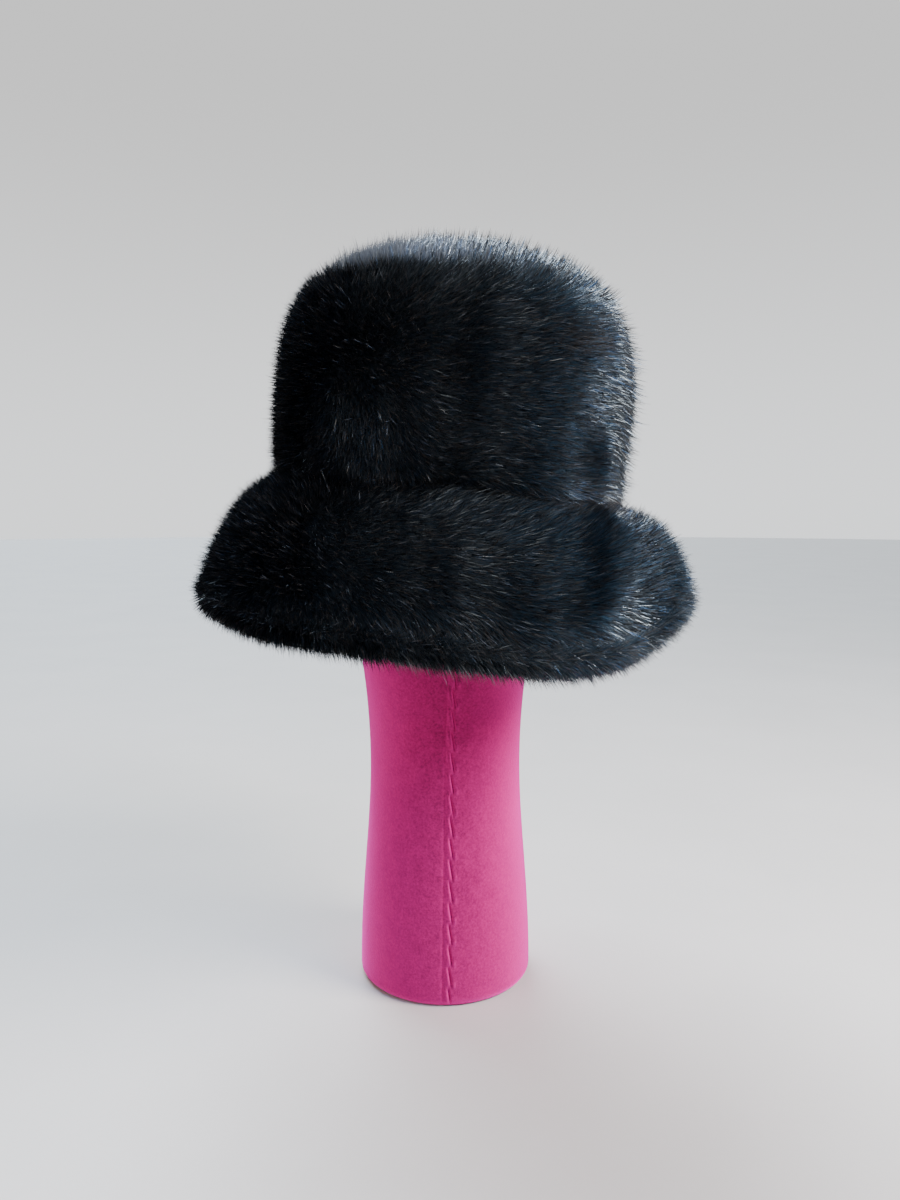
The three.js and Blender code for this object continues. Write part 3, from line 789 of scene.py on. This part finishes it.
def stand_profile(stand, count):
    """Radius and height up the stand: rounded foot, Bezier curves to the waist and the neck, and a quarter circle
    for the dome, read at equal steps of the way along it."""
    dome = stand.height - stand.head_radius
    t = np.linspace(0, 1, 60)[:, None]
    quarter = t * math.pi / 2
    edge = np.hstack([stand.base_radius - stand.edge + stand.edge * np.sin(quarter),
                      stand.edge - stand.edge * np.cos(quarter)])

    def cubic(a, b, c, d):
        a, b, c, d = (np.array(p) for p in (a, b, c, d))
        return (1 - t) ** 3 * a + 3 * t * (1 - t) ** 2 * b + 3 * t ** 2 * (1 - t) * c + t ** 3 * d

    waist = cubic((stand.base_radius, stand.edge), (stand.base_radius, stand.waist_height * 0.4),
                  (stand.waist_radius, stand.waist_height * 0.7), (stand.waist_radius, stand.waist_height))
    knee = np.array((stand.waist_radius, (stand.waist_height + stand.neck_height) / 2))
    neck = ((1 - t) ** 2 * waist[-1] + 2 * t * (1 - t) * knee
            + t ** 2 * np.array((stand.neck_radius, stand.neck_height)))
    rise = dome - stand.neck_height
    flare = cubic((stand.neck_radius, stand.neck_height),
                  ((stand.neck_radius + stand.head_radius) / 2, stand.neck_height + 0.2 * rise),
                  (stand.head_radius, stand.neck_height + 0.55 * rise), (stand.head_radius, dome))
    cap = np.hstack([stand.head_radius * np.cos(quarter), dome + stand.head_radius * np.sin(quarter)])
    line = np.vstack([edge, waist[1:], neck[1:], flare[1:], cap[1:]])
    way = np.concatenate([[0], np.cumsum(np.linalg.norm(np.diff(line, axis=0), axis=1))])
    steps = np.linspace(0, way[-1], count)
    return np.interp(steps, way, line[:, 0]), np.interp(steps, way, line[:, 1])


def seam_azimuth(height):
    """The cover's seam runs down the front, leaning a little to the right towards the top."""
    return np.radians(-87.2 + 3.6 * np.clip(height / 0.199, 0, 1.3))


class FURHAT_OT_stand(Operator):
    """Builds the suede cover of the stand, with its gathered seam"""
    bl_idname = "furhat.stand"
    bl_label = "Stand"

    def execute(self, context):
        stand = context.scene.furhat_stand
        radius, height = stand_profile(stand, 300)
        radius, height = radius[:-1, None], height[:-1, None]
        t = np.linspace(-1, 1, 176, endpoint=False)[None, :]
        away = math.pi * (0.16 * t + 0.84 * t ** 3)
        azimuth = seam_azimuth(height) + away
        across = away * radius
        beat = height / stand.stitch_pitch
        run = beat - np.floor(beat)
        near = across - 0.0024 * (0.5 - run)
        fade = smooth_step(height, 0.001, 0.008) * (1 - smooth_step(height, stand.height - 0.03, stand.height - 0.01))
        cut = np.sin(math.pi * run) ** 0.5
        groove = -stand.seam_depth * cut * np.exp(-(near / 0.0006) ** 2)
        leaf = 0.0008 * cut * np.exp(-((near + 0.0017) / 0.0011) ** 2)
        notch = 0.0009 * np.exp(-((near - 0.0016) / 0.0010) ** 2 - ((run - 0.16) / 0.14) ** 2)
        crease = -0.0005 * np.exp(-((across + 0.0044) / 0.0010) ** 2)
        push = fade * (groove + leaf + notch + crease)
        ring = np.stack([(radius + push) * np.cos(azimuth), (radius + push) * np.sin(azimuth), height + 0 * away], axis=-1)
        rows, columns = ring.shape[:2]
        points = np.concatenate([ring.reshape(-1, 3), [[0, 0, 0], [0, 0, stand.height]]])
        first = np.arange(columns)
        last = first + (rows - 1) * columns
        foot = np.stack([np.roll(first, -1), first, np.full(columns, rows * columns)], axis=-1)
        crest = np.stack([last, np.roll(last, -1), np.full(columns, rows * columns + 1)], axis=-1)
        mesh = bpy.data.meshes.new("stand_cover")
        mesh.from_pydata(points.tolist(), [], ring_faces(rows, columns, False).tolist() + foot.tolist() + crest.tolist())
        mesh.polygons.foreach_set("use_smooth", np.full(len(mesh.polygons), True))
        piece = bpy.data.objects.new("stand_cover", mesh)
        context.scene.collection.objects.link(piece)
        grain = bpy.data.node_groups.get("grain") or speckle_group()
        suede, tree, shader = grained_material(
            "suede", grain, 130.0, 700.0, 0.72, tuple(stand.suede_dark), tuple(stand.suede), 0.9, 0.5,
            gloss=0.1, sheen=1.0, sheen_tint=(1.0, 0.10, 0.60))
        # Painted sheen at the cover's edges
        paint_edge_sheen(tree, shader, stand.suede_painted_sheen)
        settle(piece, suede, "suede", "stand")
        return {"FINISHED"}


class FURHAT_OT_studio(Operator):
    """Sets up the floor, the soft lights and the camera"""
    bl_idname = "furhat.studio"
    bl_label = "Studio"

    def execute(self, context):
        studio = context.scene.furhat_studio
        reach = 9.0 * np.linspace(0.05, 1, 40) ** 2
        around = np.linspace(-math.pi, math.pi, 96, endpoint=False)
        ring = np.stack(np.broadcast_arrays(reach[:, None] * np.cos(around), reach[:, None] * np.sin(around), 0.0), axis=-1)
        rows, columns = ring.shape[:2]
        points = np.concatenate([ring.reshape(-1, 3), [[0, 0, 0]]])
        first = np.arange(columns)
        middle = np.stack([first, np.roll(first, -1), np.full(columns, rows * columns)], axis=-1)
        mesh = bpy.data.meshes.new("studio_floor")
        quads = ring_faces(rows, columns, False)[:, ::-1]
        mesh.from_pydata(points.tolist(), [], quads.tolist() + middle.tolist())
        mesh.polygons.foreach_set("use_smooth", np.full(len(mesh.polygons), True))
        floor = bpy.data.objects.new("studio_floor", mesh)
        context.scene.collection.objects.link(floor)
        grain = bpy.data.node_groups.get("grain") or speckle_group()
        pale = tuple(studio.floor)
        paint, _, _ = grained_material("floor_paint", grain, 5.0, 260.0, 0.2, tuple(0.94 * c for c in pale), pale, 0.62, 0.05)
        floor.data.materials.append(paint)

        world = bpy.data.worlds.new("studio_air")
        context.scene.world = world
        world.use_nodes = True
        nodes, link = world.node_tree.nodes, world.node_tree.links.new
        air = nodes["Background"]
        air.inputs["Color"].default_value = (*studio.sky, 1)
        air.inputs["Strength"].default_value = studio.sky_strength
        seen = nodes.new("ShaderNodeBackground")
        seen.inputs["Strength"].default_value = studio.backdrop_strength
        place = nodes.new("ShaderNodeTexCoord")
        split = nodes.new("ShaderNodeSeparateXYZ")
        fade = nodes.new("ShaderNodeValToRGB")
        fade.color_ramp.interpolation = "EASE"
        set_ramp(fade, [(0.0, tuple(studio.horizon)), (0.42, tuple(studio.backdrop))])
        rays = nodes.new("ShaderNodeLightPath")
        both = nodes.new("ShaderNodeMixShader")
        link(place.outputs["Generated"], split.inputs[0])
        link(split.outputs["Z"], fade.inputs["Fac"])
        link(fade.outputs["Color"], seen.inputs["Color"])
        link(rays.outputs["Is Camera Ray"], both.inputs[0])
        link(air.outputs[0], both.inputs[1])
        link(seen.outputs[0], both.inputs[2])
        link(both.outputs[0], nodes["World Output"].inputs["Surface"])

        def lamp(name, place, aim, size, power, tint):
            data = bpy.data.lights.new(name, "AREA")
            data.shape = "RECTANGLE"
            data.size, data.size_y = size
            data.energy = power
            data.color = tint
            light = bpy.data.objects.new(name, data)
            context.scene.collection.objects.link(light)
            light.location = place
            way = np.array(aim) - np.array(place)
            flat = math.hypot(way[0], way[1])
            light.rotation_euler = (math.atan2(flat, -way[2]), 0, math.atan2(-way[0], way[1]))
            return light

        lamp("key", (0.95, -0.45, 0.95), (0.0, 0.0, 0.34), (0.55, 0.55), studio.key_power, (1.0, 0.98, 0.96))
        data = bpy.data.lights.new("top", "SUN")
        data.energy, data.angle, data.color = studio.top_power, math.radians(40), (0.72, 0.86, 1.0)
        top = bpy.data.objects.new("top", data)
        context.scene.collection.objects.link(top)
        top.location = (0, 0, 2)
        top.rotation_euler = (math.radians(-36), math.radians(-18), 0)
        lamp("side", (0.8, -1.0, 1.2), (0.0, 0.0, 0.34), (0.7, 0.7), studio.side_power, (0.16, 0.46, 1.0))
        lamp("fill", (-1.25, -0.75, 0.7), (0.0, 0.0, 0.2), (0.8, 0.8), studio.fill_power, (1.0, 0.94, 0.88))

        data = bpy.data.cameras.new("camera")
        data.lens = studio.lens
        data.sensor_width = 36.0
        data.sensor_fit = "AUTO"
        data.clip_start = 0.01
        camera = bpy.data.objects.new("camera", data)
        context.scene.collection.objects.link(camera)
        camera.location = (studio.camera_side, -studio.camera_distance, studio.camera_height)
        camera.rotation_euler = (math.pi / 2 - studio.camera_pitch, 0, 0)
        context.scene.camera = camera
        return {"FINISHED"}


class FURHAT_PT_panel(Panel):
    """Lists the steps and the sizes of the fur hat"""
    bl_idname = "FURHAT_PT_panel"
    bl_label = "Fur hat"
    bl_space_type = "VIEW_3D"
    bl_region_type = "UI"
    bl_category = "Fur hat"

    def draw(self, context):
        for label, group, operators in (
                ("Hat", context.scene.furhat_form, ("furhat.pelts",)),
                ("Fur", context.scene.furhat_pile, ("furhat.pile",)),
                ("Stand", context.scene.furhat_stand, ("furhat.stand",)),
                ("Studio", context.scene.furhat_studio, ("furhat.studio",))):
            box = self.layout.box()
            box.label(text=label)
            for name in operators:
                box.operator(name)
            for name in group.__annotations__:
                box.prop(group, name)


GROUPS = (("furhat_form", FurHatForm), ("furhat_pile", FurHatPile),
          ("furhat_stand", FurHatStand), ("furhat_studio", FurHatStudio))
OPERATORS = (FURHAT_OT_studio, FURHAT_OT_pelts, FURHAT_OT_pile, FURHAT_OT_stand)


def register():
    for _, group in GROUPS:
        bpy.utils.register_class(group)
    for cls in (*OPERATORS, FURHAT_PT_panel):
        bpy.utils.register_class(cls)
    for name, group in GROUPS:
        setattr(bpy.types.Scene, name, PointerProperty(type=group))


def unregister():
    for name, _ in GROUPS:
        delattr(bpy.types.Scene, name)
    for cls in (FURHAT_PT_panel, *reversed(OPERATORS)):
        bpy.utils.unregister_class(cls)
    for _, group in reversed(GROUPS):
        bpy.utils.unregister_class(group)


def main():
    register()
    bpy.ops.furhat.studio()
    bpy.ops.furhat.pelts()
    bpy.ops.furhat.pile()
    bpy.ops.furhat.stand()


if __name__ == "__main__":
    main()
